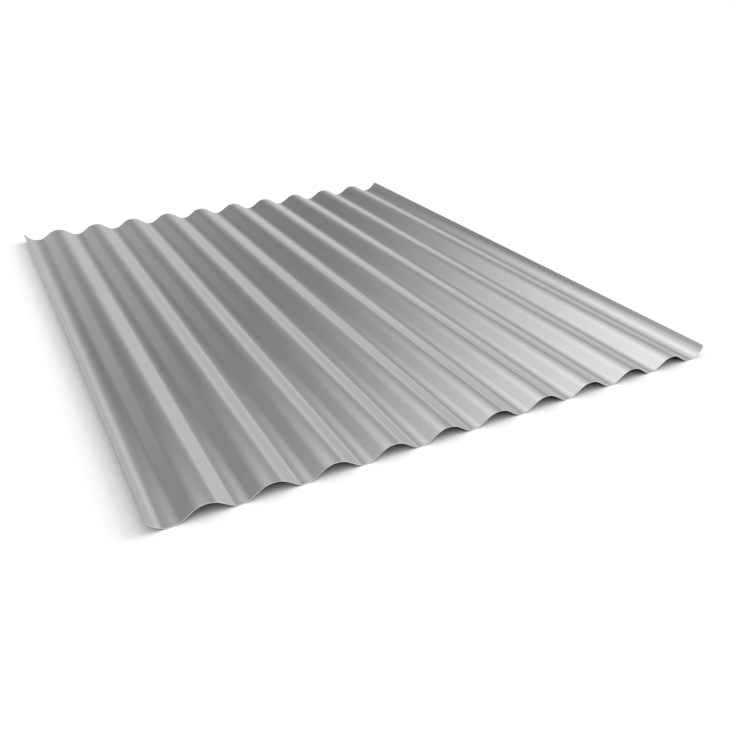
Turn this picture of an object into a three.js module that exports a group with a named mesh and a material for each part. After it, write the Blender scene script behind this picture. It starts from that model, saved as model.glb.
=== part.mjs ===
import * as THREE from 'three';

// One corrugated steel sheet: a flat strip roll-formed into equal round waves, with the
// strip's two edges left standing as lap lips that hook over the next sheet's outer wave.
// The waves run along Y, the width is along X, and the undersides of the troughs lie on
// the plane Z = 0, with the origin under the middle of the sheet. Sizes are in millimetres.

const WAVE_PITCH = 76.2;      // from one trough to the next
const WAVE_COUNT = 10;        // whole waves between the two outer troughs
const SHEET_DEPTH = 16;       // from the underside of a trough to the top of a crest
const THICKNESS = 0.7;        // of the steel with its zinc coating
const SHEET_LENGTH = 1000;    // along the waves

// Radii of the bends, to the middle of the metal.
const CREST_RADIUS = 29.1;
const TROUGH_RADIUS = 21;
const LIP_RADIUS = 28.1;

const LIP_ANGLE = 55;         // that a lap lip turns through, in degrees
const LIP_FLAT = 6.2;         // width of the flat between a lip's bend and its cut edge

// Crests and troughs each have one level facet along their middle line, this wide as an
// angle of the bend. Every bend has facets no wider than the second angle.
const LEVEL_FACET_ANGLE = THREE.MathUtils.degToRad(4);
const FACET_ANGLE = THREE.MathUtils.degToRad(4.6);

// Rise and run of the metal's middle line from a trough to the next crest.
const RUN = WAVE_PITCH / 2;
const RISE = SHEET_DEPTH - THICKNESS;

// Two bends that meet with no flat between them have the largest radii there is room for.
const ROOM_FOR_RADII = (RUN ** 2 + RISE ** 2) / (2 * RISE);
const FIT = Math.min(1, ROOM_FOR_RADII / (CREST_RADIUS + TROUGH_RADIUS));
const CREST = CREST_RADIUS * FIT;
const TROUGH = TROUGH_RADIUS * FIT;

// The flank between a trough and a crest is the straight line that touches both bends.
const RADII = CREST + TROUGH;
const FLANK_FLAT = Math.sqrt(Math.max(0, RUN ** 2 + RISE ** 2 - 2 * RISE * RADII));
const FLANK_ANGLE = Math.atan2(RISE - RADII, RUN) + Math.atan2(RADII, FLANK_FLAT);
const LIP_SLOPE = THREE.MathUtils.degToRad(LIP_ANGLE);

// Points along a bend, between two slopes of the metal. A slope is positive where the metal
// rises to the right, and the points run from left to right.
function bendPoints(centre, radius, isTrough, fromSlope, toSlope) {
  const straightOut = isTrough ? -Math.PI / 2 : Math.PI / 2;
  const facets = Math.ceil(Math.abs(toSlope - fromSlope) / FACET_ANGLE);
  return new THREE.EllipseCurve(
    centre.x, centre.y, radius, radius,
    straightOut + fromSlope, straightOut + toSlope, !isTrough,
  ).getPoints(facets);
}

// The half of a trough or crest on one side of its middle line: a side of -1 is the left
// half, which ends with the level facet's edge, and 1 is the right half, which starts there.
function halfWavePoints(centre, radius, isTrough, side) {
  const uphill = isTrough ? side : -side;
  const slopes = [uphill * LEVEL_FACET_ANGLE / 2, uphill * FLANK_ANGLE];
  const [from, to] = side < 0 ? slopes.reverse() : slopes;
  return bendPoints(centre, radius, isTrough, from, to);
}

// A lap lip, in the order of the skin's points. It starts at the level facet of the outer
// trough, whose bend it carries on at its own radius, and ends in a flat.
function lipPoints(troughCentre, offset, side) {
  const level = LEVEL_FACET_ANGLE / 2;
  const centre = troughCentre.clone().add(
    new THREE.Vector2(-side * Math.sin(level), Math.cos(level))
      .multiplyScalar(LIP_RADIUS - TROUGH),
  );
  const slopes = [side * level, side * LIP_SLOPE];
  const [from, to] = side < 0 ? slopes.reverse() : slopes;
  const bend = bendPoints(centre, LIP_RADIUS - offset, true, from, to);
  const flat = new THREE.Vector2(side * Math.cos(LIP_SLOPE), Math.sin(LIP_SLOPE));
  const root = side < 0 ? bend[0] : bend[bend.length - 1];
  const edge = root.clone().addScaledVector(flat, LIP_FLAT);
  return side < 0 ? [edge, ...bend] : [...bend, edge];
}

// One skin of the sheet, from the left lip's edge to the right lip's, at a distance above
// the metal's middle line (below it where the distance is negative).
function skinPoints(offset) {
  const points = [];
  const outerTrough = (WAVE_COUNT * WAVE_PITCH) / 2;
  const last = 2 * WAVE_COUNT;
  for (let i = 0; i <= last; i += 1) {
    const isTrough = i % 2 === 0;
    const centre = new THREE.Vector2(-outerTrough + i * RUN, isTrough ? TROUGH : RISE - CREST);
    const radius = isTrough ? TROUGH - offset : CREST + offset;
    points.push(
      ...(i === 0 ? lipPoints(centre, offset, -1) : halfWavePoints(centre, radius, isTrough, -1)),
      ...(i === last ? lipPoints(centre, offset, 1) : halfWavePoints(centre, radius, isTrough, 1)),
    );
  }
  return points;
}

// The wavy section: the upper skin from left to right, then the lower one back again.
function sheetSection() {
  const upper = skinPoints(THICKNESS / 2);
  const lower = skinPoints(-THICKNESS / 2);
  return new THREE.Shape([...upper, ...lower.reverse()]);
}

function corrugatedSheet() {
  const geometry = new THREE.ExtrudeGeometry(sheetSection(), {
    depth: SHEET_LENGTH,
    steps: 1,
    bevelEnabled: false,
  });
  // The section is drawn upright and run along Y, then set down on the plane Z = 0.
  geometry.rotateX(Math.PI / 2);
  geometry.computeBoundingBox();
  geometry.translate(0, SHEET_LENGTH / 2, -geometry.boundingBox.min.z);

  const galvanisedSteel = new THREE.MeshStandardMaterial({
    color: '#bfbfbf',
    roughness: 0.35,
    metalness: 1,
  });
  const mesh = new THREE.Mesh(geometry, galvanisedSteel);
  mesh.name = 'corrugated_sheet';
  return mesh;
}

const part = new THREE.Group();
part.add(corrugatedSheet());

export default part;
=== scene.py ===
"""Looks of one corrugated steel sheet: its finished mesh, its zinc finish, the studio and the camera.

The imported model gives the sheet's box, and everything here is in metres in its frame: the waves
run along Y, the width is along X, and the undersides of the troughs lie on Z = 0.
"""

from __future__ import annotations

import logging
import math
from dataclasses import dataclass
from enum import Enum
from typing import Any, Iterable

import bpy
from mathutils import Matrix, Quaternion, Vector

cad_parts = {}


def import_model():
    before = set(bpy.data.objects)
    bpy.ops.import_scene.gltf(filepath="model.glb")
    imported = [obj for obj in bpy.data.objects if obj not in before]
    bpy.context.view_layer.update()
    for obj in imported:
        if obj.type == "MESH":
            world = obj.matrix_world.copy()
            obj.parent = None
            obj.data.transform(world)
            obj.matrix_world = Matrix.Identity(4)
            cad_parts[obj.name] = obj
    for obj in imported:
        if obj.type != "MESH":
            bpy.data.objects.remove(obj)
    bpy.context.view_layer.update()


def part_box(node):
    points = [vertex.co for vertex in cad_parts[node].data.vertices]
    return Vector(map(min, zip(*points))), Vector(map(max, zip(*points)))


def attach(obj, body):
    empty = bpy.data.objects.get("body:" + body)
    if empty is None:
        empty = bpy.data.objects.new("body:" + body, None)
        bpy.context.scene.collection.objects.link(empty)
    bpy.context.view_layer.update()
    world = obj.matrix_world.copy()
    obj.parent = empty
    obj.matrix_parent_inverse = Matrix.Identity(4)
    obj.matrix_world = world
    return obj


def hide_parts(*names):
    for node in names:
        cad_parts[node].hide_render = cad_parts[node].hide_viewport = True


LOG = logging.getLogger("corrugated_sheet")

NODE = "corrugated_sheet"
SLOT = "galvanised_steel"
MM = 0.001
SAME_PLACE = 0.01 * MM
# A noise texture hardly leaves this range.
NOISE_LOW = 0.3
NOISE_HIGH = 0.7
# Sockets of a Mix node that mixes two colours.
MIX_FACTOR = 0
MIX_FIRST = 6
MIX_SECOND = 7
MIX_RESULT = 2

# One run of light from the horizon to overhead, as stops: degrees above level, and the level of
# light there, where a level of 1 shows white.
Band = tuple[tuple[float, float], ...]


def hex_colour(code: str) -> tuple[float, float, float, float]:
    """Turns an sRGB hex colour to linear light.

    Args:
        code: The colour as six hex digits, such as "c8cacc".

    Returns:
        Red, green, blue and alpha, each from 0 to 1.
    """
    channels = [int(code[i : i + 2], 16) / 255 for i in (0, 2, 4)]
    linear = [c / 12.92 if c <= 0.04045 else ((c + 0.055) / 1.055) ** 2.4 for c in channels]
    return linear[0], linear[1], linear[2], 1.0


def add_node(
    tree: bpy.types.NodeTree,
    kind: str,
    settings: dict[str, Any] | None = None,
    inputs: dict[str | int, Any] | None = None,
) -> bpy.types.Node:
    """Adds one shader node, with its settings, its constants and its links.

    Args:
        tree: The node tree that it goes in.
        kind: The node's type name in Blender.
        settings: Properties of the node, by name.
        inputs: What each input gets, by socket name or number: a constant, or an output socket.

    Returns:
        The new node.
    """
    node = tree.nodes.new(kind)
    for name, value in (settings or {}).items():
        setattr(node, name, value)
    for name, value in (inputs or {}).items():
        if isinstance(value, bpy.types.NodeSocket):
            tree.links.new(value, node.inputs[name])
        else:
            node.inputs[name].default_value = value
    return node


def empty_tree(owner: bpy.types.Material | bpy.types.World) -> bpy.types.NodeTree:
    """Gives a material or a world a node tree with nothing in it."""
    owner.use_nodes = True
    owner.node_tree.nodes.clear()
    return owner.node_tree


class Side(Enum):
    """A side edge of the sheet, and the sign of its X."""

    LEFT = -1
    RIGHT = 1


@dataclass
class CorrugatedSheet:
    """One roll-formed sheet, drawn at the middle of the metal and then given its thickness."""

    length: float
    wave_pitch: float = 76.2 * MM
    wave_count: int = 10
    depth: float = 16 * MM
    thickness: float = 0.7 * MM
    crest_radius: float = 29.1 * MM
    trough_radius: float = 21 * MM
    lip_radius: float = 28.1 * MM
    lip_angle: float = math.radians(55)
    lip_flat: float = 6.2 * MM
    corner: float = 5 * MM
    corner_steps: int = 8
    burr: float = 0.12 * MM
    burr_steps: int = 2
    bend_step: float = math.radians(2.5)
    # An edge that turns more than the first angle is a cut edge, and less than the second a bend.
    cut_angle: float = math.radians(60)
    bend_angle: float = math.radians(15)

    @property
    def run(self) -> float:
        """Distance across the sheet from a trough line to the next crest line."""
        return self.wave_pitch / 2

    @property
    def rise(self) -> float:
        """Height from the middle of the metal in a trough to that in a crest."""
        return self.depth - self.thickness

    @property
    def flank_flat(self) -> float:
        """Width of the flat between two bends, which is their common tangent."""
        radii = self.crest_radius + self.trough_radius
        return math.sqrt(self.run**2 + self.rise**2 - 2 * self.rise * radii)

    @property
    def flank_angle(self) -> float:
        """Slope of a flank from level."""
        radii = self.crest_radius + self.trough_radius
        return math.atan2(self.rise - radii, self.run) + math.atan2(radii, self.flank_flat)

    def build(self) -> bpy.types.Object:
        """Makes the whole sheet.

        Returns:
            The finished object, at the origin.
        """
        sheet = self.roll_one_wave()
        sheet.data.materials.append(GalvanisedSteel().material())
        sheet.data.materials.append(ShearedSteel().material())
        self.repeat_wave(sheet)
        for side in Side:
            self.roll_lip(sheet, side)
        self.round_corners(sheet)
        self.give_thickness(sheet)
        self.dull_cut_edges(sheet)
        self.smooth(sheet)
        return sheet

    def roll_one_wave(self) -> bpy.types.Object:
        """Makes one wave, from a trough line at X = 0 to the next, as a surface with no thickness.

        Returns:
            The wave, whose trough lines lie on Z = 0.
        """
        radius, angle = self.trough_radius, self.flank_angle
        foot = Vector((radius * math.sin(angle), 0, radius * (1 - math.cos(angle))))
        flank = Vector((math.cos(angle), 0, math.sin(angle))) * self.flank_flat
        bpy.ops.object.select_all(action="DESELECT")
        bpy.ops.mesh.primitive_plane_add(size=1, location=foot + flank / 2, rotation=(0, -angle, 0))
        wave = bpy.context.object
        wave.scale = (self.flank_flat, self.length, 1)
        bpy.ops.object.transform_apply(location=True, rotation=True, scale=True)
        trough = Vector((0, 0, radius))
        crest = Vector((self.run, 0, self.rise - self.crest_radius))
        next_trough = Vector((self.wave_pitch, 0, radius))
        self.bend_edge(wave, foot, trough, -angle)
        self.bend_edge(wave, foot + flank, crest, -2 * angle)
        top = Vector((self.wave_pitch - (foot + flank).x, 0, (foot + flank).z))
        self.draw_out_edge(wave, top, Vector((flank.x, 0, -flank.z)))
        self.bend_edge(wave, Vector((self.wave_pitch - foot.x, 0, foot.z)), next_trough, angle)
        return wave

    def select_line(self, sheet: bpy.types.Object, point: Vector) -> None:
        """Selects the vertices on one line along Y, and leaves the sheet in edit mode.

        Args:
            sheet: The object.
            point: Any point on the line.
        """
        bpy.context.view_layer.objects.active = sheet
        bpy.ops.object.mode_set(mode="EDIT")
        bpy.ops.mesh.select_mode(type="EDGE")
        bpy.ops.mesh.select_all(action="DESELECT")
        bpy.ops.object.mode_set(mode="OBJECT")
        vertices = sheet.data.vertices
        for edge in sheet.data.edges:
            ends = [vertices[i].co for i in edge.vertices]
            edge.select = all(math.hypot(e.x - point.x, e.z - point.z) < SAME_PLACE for e in ends)
        bpy.ops.object.mode_set(mode="EDIT")

    def bend_edge(
        self, sheet: bpy.types.Object, edge: Vector, centre: Vector, angle: float
    ) -> None:
        """Draws an edge of the metal round a bend.

        Args:
            sheet: The object.
            edge: A point on the edge that is drawn on.
            centre: A point on the bend's axis, which runs along Y.
            angle: How far the metal turns, positive from X towards Z.
        """
        self.select_line(sheet, edge)
        bpy.ops.mesh.spin(
            steps=round(abs(angle) / self.bend_step), angle=angle, center=centre, axis=(0, 1, 0)
        )
        bpy.ops.object.mode_set(mode="OBJECT")

    def draw_out_edge(self, sheet: bpy.types.Object, edge: Vector, reach: Vector) -> None:
        """Draws an edge of the metal straight out into a flat.

        Args:
            sheet: The object.
            edge: A point on the edge that is drawn out.
            reach: From that edge to the flat's far edge.
        """
        self.select_line(sheet, edge)
        bpy.ops.mesh.extrude_region_move(TRANSFORM_OT_translate={"value": reach})
        bpy.ops.object.mode_set(mode="OBJECT")

    def repeat_wave(self, sheet: bpy.types.Object) -> None:
        """Copies the one wave side by side and centres the row on the middle of the sheet."""
        copies = sheet.modifiers.new("waves", "ARRAY")
        copies.count = self.wave_count
        copies.use_relative_offset = False
        copies.use_constant_offset = True
        copies.constant_offset_displace = (self.wave_pitch, 0, 0)
        copies.use_merge_vertices = True
        copies.merge_threshold = SAME_PLACE
        bpy.ops.object.modifier_apply(modifier=copies.name)
        half = self.wave_count * self.wave_pitch / 2
        sheet.data.transform(Matrix.Translation((-half, 0, self.thickness / 2)))

    def roll_lip(self, sheet: bpy.types.Object, side: Side) -> None:
        """Adds a lap lip beyond the outer trough of one side.

        Args:
            sheet: The object.
            side: The side that gets it.
        """
        radius, sign = self.lip_radius, side.value
        base = self.thickness / 2
        trough_x = sign * self.wave_count * self.wave_pitch / 2
        self.bend_edge(
            sheet,
            Vector((trough_x, 0, base)),
            Vector((trough_x, 0, base + radius)),
            sign * self.lip_angle,
        )
        root = Vector(
            (
                trough_x + sign * radius * math.sin(self.lip_angle),
                0,
                base + radius * (1 - math.cos(self.lip_angle)),
            )
        )
        slope = Vector((sign * math.cos(self.lip_angle), 0, math.sin(self.lip_angle)))
        self.draw_out_edge(sheet, root, slope * self.lip_flat)

    def round_corners(self, sheet: bpy.types.Object) -> None:
        """Rounds the sheet's four corners, which are the ends of the lips' edges."""
        vertices = sheet.data.vertices
        lip_edge = max(vertex.co.x for vertex in vertices)
        bpy.ops.object.mode_set(mode="EDIT")
        bpy.ops.mesh.select_mode(type="VERT")
        bpy.ops.mesh.select_all(action="DESELECT")
        bpy.ops.object.mode_set(mode="OBJECT")
        for vertex in vertices:
            vertex.select = lip_edge - abs(vertex.co.x) < SAME_PLACE
        bpy.ops.object.mode_set(mode="EDIT")
        bpy.ops.mesh.bevel(offset=self.corner, segments=self.corner_steps, affect="VERTICES")
        bpy.ops.object.mode_set(mode="OBJECT")

    def give_thickness(self, sheet: bpy.types.Object) -> None:
        """Turns the surface into metal, half of it on either side, and bares its sheared ends."""
        bpy.ops.object.mode_set(mode="EDIT")
        bpy.ops.mesh.select_all(action="SELECT")
        bpy.ops.mesh.remove_doubles(threshold=SAME_PLACE)
        bpy.ops.mesh.normals_make_consistent(inside=False)
        bpy.ops.object.mode_set(mode="OBJECT")
        wall = sheet.modifiers.new("wall", "SOLIDIFY")
        wall.thickness = self.thickness
        wall.offset = 0
        wall.use_even_offset = True
        wall.material_offset_rim = 1
        bpy.ops.object.modifier_apply(modifier=wall.name)
        for face in sheet.data.polygons:
            across_the_waves = abs(face.normal.y) > abs(face.normal.x) + abs(face.normal.z)
            if not across_the_waves:
                face.material_index = 0

    def dull_cut_edges(self, sheet: bpy.types.Object) -> None:
        """Takes the knife edge off the sheared ends and the sides."""
        bpy.ops.object.mode_set(mode="EDIT")
        bpy.ops.mesh.select_mode(type="EDGE")
        bpy.ops.mesh.select_all(action="SELECT")
        bpy.ops.mesh.normals_make_consistent(inside=False)
        bpy.ops.mesh.select_all(action="DESELECT")
        bpy.ops.mesh.edges_select_sharp(sharpness=self.cut_angle)
        bpy.ops.mesh.bevel(offset=self.burr, segments=self.burr_steps, affect="EDGES")
        bpy.ops.object.mode_set(mode="OBJECT")

    def smooth(self, sheet: bpy.types.Object) -> None:
        """Shades the bends smooth and leaves the cut edges crisp."""
        bpy.ops.object.select_all(action="DESELECT")
        sheet.select_set(True)
        bpy.context.view_layer.objects.active = sheet
        bpy.ops.object.shade_smooth_by_angle(angle=self.bend_angle)


@dataclass(frozen=True)
class GalvanisedSteel:
    """Hot-dip galvanised steel, skin-passed between smooth rolls.

    The eye gets a neutral grey satin: broad soft reflections, a faint grain along the way that the
    strip ran through the rolls, and hardly visible clouds in the zinc.
    """

    zinc: str = "b5b5b5"
    cloud: str = "bbbbbb"
    grazing_zinc: str = "d8d8d8"
    cloud_size: float = 45 * MM
    cloud_detail: float = 2.0
    # The rolls leave a grain about 0.3 mm wide, drawn coarser here so that it shows.
    grain_width: float = 2.2 * MM
    grain_length: float = 260 * MM
    grain_detail: float = 1.0
    grain_height: float = 0.004 * MM
    smoothest: float = 0.15
    roughest: float = 0.19

    def pattern(
        self, tree: bpy.types.NodeTree, size: tuple[float, float, float], detail: float
    ) -> bpy.types.NodeSocket:
        """Adds a noise on Object coordinates.

        Args:
            tree: The material's node tree.
            size: The size of one patch of the noise along X, Y and Z.
            detail: How many finer noises it holds.

        Returns:
            The noise, which stays near 0.5.
        """
        place = add_node(tree, "ShaderNodeTexCoord").outputs["Object"]
        scale = tuple(1 / length for length in size)
        patches = add_node(tree, "ShaderNodeMapping", inputs={"Vector": place, "Scale": scale})
        noise = add_node(
            tree,
            "ShaderNodeTexNoise",
            inputs={"Vector": patches.outputs["Vector"], "Scale": 1.0, "Detail": detail},
        )
        return noise.outputs["Fac"]

    def material(self) -> bpy.types.Material:
        """Makes the material.

        Returns:
            The finish, with its patterns on Object coordinates.
        """
        steel = bpy.data.materials.new(SLOT)
        tree = empty_tree(steel)
        clouds = self.pattern(tree, (self.cloud_size,) * 3, self.cloud_detail)
        grain_size = (self.grain_width, self.grain_length, self.grain_width)
        grain = self.pattern(tree, grain_size, self.grain_detail)
        colour = add_node(
            tree,
            "ShaderNodeMix",
            {"data_type": "RGBA"},
            {
                MIX_FACTOR: clouds,
                MIX_FIRST: hex_colour(self.zinc),
                MIX_SECOND: hex_colour(self.cloud),
            },
        )
        roughness = add_node(
            tree,
            "ShaderNodeMapRange",
            inputs={
                "Value": grain,
                "From Min": NOISE_LOW,
                "From Max": NOISE_HIGH,
                "To Min": self.smoothest,
                "To Max": self.roughest,
            },
        )
        relief = add_node(
            tree, "ShaderNodeBump", inputs={"Height": grain, "Distance": self.grain_height}
        )
        surface = add_node(
            tree,
            "ShaderNodeBsdfPrincipled",
            inputs={
                "Base Color": colour.outputs[MIX_RESULT],
                "Specular Tint": hex_colour(self.grazing_zinc),
                "Metallic": 1.0,
                "Roughness": roughness.outputs["Result"],
                "Normal": relief.outputs["Normal"],
            },
        )
        add_node(tree, "ShaderNodeOutputMaterial", inputs={"Surface": surface.outputs["BSDF"]})
        return steel


@dataclass(frozen=True)
class ShearedSteel:
    """Bare steel where the sheet was sheared to length, which shows as a bright line along each end.

    The strip was coated at its full width, so its side edges are zinc all round.
    """

    steel: str = "e0e0e0"
    burnished: float = 0.3
    torn: float = 0.45
    tear_length: float = 1.5 * MM

    def material(self) -> bpy.types.Material:
        """Makes the material.

        Returns:
            The finish, which is burnished in places and torn in others, as a shear leaves it.
        """
        edge = bpy.data.materials.new("sheared_steel")
        tree = empty_tree(edge)
        place = add_node(tree, "ShaderNodeTexCoord").outputs["Object"]
        tears = add_node(
            tree, "ShaderNodeTexNoise", inputs={"Vector": place, "Scale": 1 / self.tear_length}
        )
        roughness = add_node(
            tree,
            "ShaderNodeMapRange",
            inputs={
                "Value": tears.outputs["Fac"],
                "From Min": NOISE_LOW,
                "From Max": NOISE_HIGH,
                "To Min": self.burnished,
                "To Max": self.torn,
            },
        )
        surface = add_node(
            tree,
            "ShaderNodeBsdfPrincipled",
            inputs={
                "Base Color": hex_colour(self.steel),
                "Metallic": 1.0,
                "Roughness": roughness.outputs["Result"],
            },
        )
        add_node(tree, "ShaderNodeOutputMaterial", inputs={"Surface": surface.outputs["BSDF"]})
        return edge


@dataclass(frozen=True)
class WhitePaper:
    """Seamless background paper: matt, pure white where no shadow falls, and darkened with painted
    shade deep under the sheet.
    """

    seen: float = 0.77
    bounced: float = 0.3
    shade_reach: float = 60 * MM
    # Shares of open sky at which the painted shade makes the paper black, and from which it leaves
    # the paper as light as it gets.
    closed: float = 0.03
    opened: float = 0.12
    shade_samples: int = 16
    # Between the depth of a ray that has met no matt surface and that of one that has met one.
    one_bounce: float = 0.5

    def material(self) -> bpy.types.Material:
        """Makes the material.

        Returns:
            The paper. Metal reflects it as plain white, and the camera sees the shadows on it,
            darkened further under the waves by painted shade.
        """
        paper = bpy.data.materials.new("white_paper")
        tree = empty_tree(paper)
        ray = add_node(tree, "ShaderNodeLightPath")
        tone = add_node(
            tree,
            "ShaderNodeMapRange",
            inputs={
                "Value": ray.outputs["Is Camera Ray"],
                "To Min": self.bounced,
                "To Max": self.seen,
            },
        )
        # Painted shade: the paper's colour is darkened towards black where little open sky is near
        # it, deep under the waves.
        sky = add_node(
            tree,
            "ShaderNodeAmbientOcclusion",
            {"samples": self.shade_samples},
            {"Distance": self.shade_reach},
        )
        shade = add_node(
            tree,
            "ShaderNodeMapRange",
            inputs={"Value": sky.outputs["AO"], "From Min": self.closed, "From Max": self.opened},
        )
        painted_shade_tone = add_node(
            tree,
            "ShaderNodeMath",
            {"operation": "MULTIPLY"},
            {0: tone.outputs["Result"], 1: shade.outputs["Result"]},
        )
        matt = add_node(tree, "ShaderNodeBsdfDiffuse", inputs={"Color": painted_shade_tone.outputs["Value"]})
        plain = add_node(tree, "ShaderNodeEmission", inputs={"Strength": 1.0})
        mirrored = add_node(
            tree,
            "ShaderNodeMath",
            {"operation": "MAXIMUM"},
            {0: ray.outputs["Is Glossy Ray"], 1: ray.outputs["Is Transmission Ray"]},
        )
        # Light on its way to the paper under the sheet finds the paper's own shade there.
        straight = add_node(
            tree,
            "ShaderNodeMath",
            {"operation": "LESS_THAN"},
            {0: ray.outputs["Diffuse Depth"], 1: self.one_bounce},
        )
        glaring = add_node(
            tree,
            "ShaderNodeMath",
            {"operation": "MULTIPLY"},
            {0: mirrored.outputs["Value"], 1: straight.outputs["Value"]},
        )
        surface = add_node(
            tree,
            "ShaderNodeMixShader",
            inputs={
                "Fac": glaring.outputs["Value"],
                1: matt.outputs["BSDF"],
                2: plain.outputs["Emission"],
            },
        )
        add_node(tree, "ShaderNodeOutputMaterial", inputs={"Surface": surface.outputs["Shader"]})
        return paper


def direction(azimuth: float, elevation: float) -> Vector:
    """Gives the unit vector towards a place in the sky.

    Args:
        azimuth: Degrees from +Y towards +X.
        elevation: Degrees above level.

    Returns:
        The vector.
    """
    turn, rise = math.radians(azimuth), math.radians(elevation)
    return Vector((math.sin(turn) * math.cos(rise), math.cos(turn) * math.cos(rise), math.sin(rise)))


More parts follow.
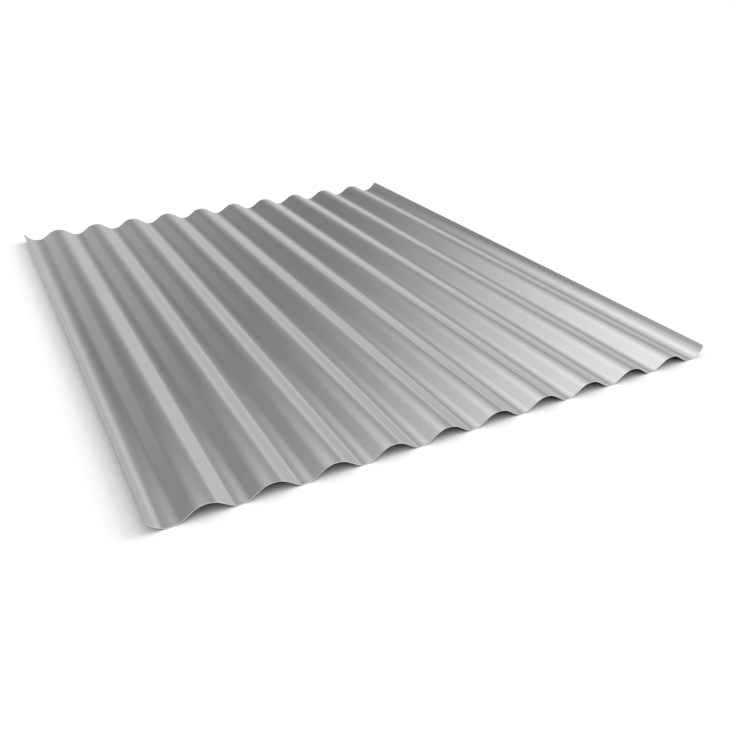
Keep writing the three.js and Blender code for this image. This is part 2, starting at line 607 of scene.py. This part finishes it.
@dataclass
class Studio:
    """A white floor and backdrop in a room of soft light, with a low soft key from the right.

    Each wall of the room is a band of light, with the azimuth that it is centred on and, in
    degrees either side of that, where it is still whole and where it ends.
    """

    floor_size: float = 60.0
    floor_drop: float = 0.2 * MM
    backdrop: str = "ffffff"
    around: Band = ((1.0, 0.85), (8.0, 0.45), (24.4, 0.45), (42.9, 1.18))
    ahead: Band = ((1.3, 1.35), (31.3, 0.34), (66.0, 2.07), (68.0, 0.80))
    ahead_azimuth: float = 34.4
    ahead_edges: tuple[float, float] = (0.4, 90.0)
    right: Band = ((7.5, 1.09), (13.2, 1.23), (24.0, 0.70), (52.4, 1.30))
    right_azimuth: float = 75.0
    right_edges: tuple[float, float] = (0.3, 79.8)
    behind: Band = ((1.5, 1.35), (30.0, 0.44), (62.0, 1.9))
    behind_azimuth: float = 214.4
    behind_edges: tuple[float, float] = (0.4, 90.0)
    key_azimuth: float = 93.8
    key_elevation: float = 29.1
    key_width: float = 40.0
    key_strength: float = 1.7

    def build(self) -> None:
        """Makes the floor, the sky and the key light."""
        self.lay_floor()
        self.light_sky()
        self.hang_key()

    def lay_floor(self) -> None:
        """Lays the paper just under the sheet."""
        bpy.ops.object.select_all(action="DESELECT")
        bpy.ops.mesh.primitive_plane_add(size=self.floor_size, location=(0, 0, -self.floor_drop))
        floor = bpy.context.object
        floor.name = "floor"
        floor.data.materials.append(WhitePaper().material())
        LOG.info("floor: %g m square", self.floor_size)

    def band(
        self, tree: bpy.types.NodeTree, height: bpy.types.NodeSocket, stops: Band
    ) -> bpy.types.NodeSocket:
        """Adds one run of light from the horizon to overhead.

        Args:
            tree: The world's node tree.
            height: The sine of the elevation.
            stops: The band's stops, from the lowest up.

        Returns:
            The light's colour.
        """
        ramp = add_node(tree, "ShaderNodeValToRGB", inputs={"Fac": height})
        ramp.color_ramp.interpolation = "EASE"
        elements = ramp.color_ramp.elements
        elements.remove(elements[-1])
        for i, (elevation, level) in enumerate(stops):
            at = math.sin(math.radians(elevation))
            element = elements.new(at) if i else elements[0]
            element.position = at
            element.color = (level, level, level, 1)
        return ramp.outputs["Color"]

    def sector(
        self,
        tree: bpy.types.NodeTree,
        way: bpy.types.NodeSocket,
        azimuth: float,
        edges: tuple[float, float],
    ) -> bpy.types.NodeSocket:
        """Adds a soft-edged part of the compass.

        Args:
            tree: The world's node tree.
            way: The level direction that is looked in, as a unit vector.
            azimuth: The middle of the part, in degrees.
            edges: Degrees either side of the middle where it is still whole, and where it ends.

        Returns:
            1 in the part and 0 outside it.
        """
        towards = add_node(
            tree,
            "ShaderNodeVectorMath",
            {"operation": "DOT_PRODUCT"},
            {0: way, 1: direction(azimuth, 0)},
        )
        whole, gone = (math.cos(math.radians(edge)) for edge in edges)
        part = add_node(
            tree,
            "ShaderNodeMapRange",
            {"interpolation_type": "SMOOTHSTEP"},
            {"Value": towards.outputs["Value"], "From Min": gone, "From Max": whole},
        )
        return part.outputs["Result"]

    def light_sky(self) -> None:
        """Lights the room all round from the world, behind a white backdrop for the camera."""
        world = bpy.data.worlds.new("studio")
        bpy.context.scene.world = world
        tree = empty_tree(world)
        look = add_node(tree, "ShaderNodeTexCoord").outputs["Generated"]
        height = add_node(tree, "ShaderNodeSeparateXYZ", inputs={0: look}).outputs["Z"]
        level = add_node(
            tree, "ShaderNodeVectorMath", {"operation": "MULTIPLY"}, {0: look, 1: (1, 1, 0)}
        )
        way = add_node(
            tree, "ShaderNodeVectorMath", {"operation": "NORMALIZE"}, {0: level.outputs["Vector"]}
        )
        way = way.outputs["Vector"]
        light = self.band(tree, height, self.around)
        for stops, azimuth, edges in (
            (self.ahead, self.ahead_azimuth, self.ahead_edges),
            (self.right, self.right_azimuth, self.right_edges),
            (self.behind, self.behind_azimuth, self.behind_edges),
        ):
            mixed = add_node(
                tree,
                "ShaderNodeMix",
                {"data_type": "RGBA"},
                {
                    MIX_FACTOR: self.sector(tree, way, azimuth, edges),
                    MIX_FIRST: light,
                    MIX_SECOND: self.band(tree, height, stops),
                },
            )
            light = mixed.outputs[MIX_RESULT]
        ray = add_node(tree, "ShaderNodeLightPath").outputs["Is Camera Ray"]
        seen = add_node(
            tree,
            "ShaderNodeMix",
            {"data_type": "RGBA"},
            {MIX_FACTOR: ray, MIX_FIRST: light, MIX_SECOND: hex_colour(self.backdrop)},
        )
        sky = add_node(tree, "ShaderNodeBackground", inputs={"Color": seen.outputs[MIX_RESULT]})
        add_node(tree, "ShaderNodeOutputWorld", inputs={"Surface": sky.outputs["Background"]})

    def hang_key(self) -> None:
        """Adds the wide, soft key light."""
        lamp = bpy.data.lights.new("key", "SUN")
        lamp.energy = self.key_strength
        lamp.angle = math.radians(self.key_width)
        key = bpy.data.objects.new("key", lamp)
        bpy.context.scene.collection.objects.link(key)
        towards = direction(self.key_azimuth, self.key_elevation)
        key.rotation_euler = towards.to_track_quat("Z", "Y").to_euler()
        # It only lights the floor, for the sheet's shadow: its disc would burn out in the metal.
        key.visible_glossy = False


@dataclass
class Camera:
    """The camera, looking down across the sheet from beyond its near left corner."""

    place: tuple[float, float, float] = (-0.4883, -1.1264, 0.5255)
    azimuth: float = 28.10
    elevation: float = -28.95
    roll: float = -0.13
    focal_length: float = 37.13
    sensor: float = 36.0

    def build(self) -> None:
        """Makes the camera and sets it as the scene's camera."""
        lens = bpy.data.cameras.new("camera")
        lens.sensor_fit = "HORIZONTAL"
        lens.sensor_width = self.sensor
        lens.lens = self.focal_length
        camera = bpy.data.objects.new("camera", lens)
        bpy.context.scene.collection.objects.link(camera)
        camera.location = self.place
        aim = direction(self.azimuth, self.elevation).to_track_quat("-Z", "Y")
        roll = Quaternion((0, 0, 1), math.radians(self.roll))
        camera.rotation_euler = (aim @ roll).to_euler()
        bpy.context.scene.camera = camera
        LOG.info("camera: %g mm lens", self.focal_length)


def main() -> None:
    """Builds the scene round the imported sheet."""
    logging.basicConfig(level=logging.INFO, format="%(name)s: %(message)s")
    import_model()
    low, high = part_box(NODE)

    sheet = CorrugatedSheet(length=float(high[1] - low[1])).build()
    sheet.name = "sheet"
    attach(sheet, "root")
    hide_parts(NODE)
    # The room is lit for a sheet that shows only the room, so its waves don't mirror each other.
    sheet.visible_glossy = False
    LOG.info("sheet: %d faces", len(sheet.data.polygons))

    Studio().build()
    Camera().build()
    bpy.context.scene.view_settings.view_transform = "Standard"


if __name__ == "__main__":
    main()
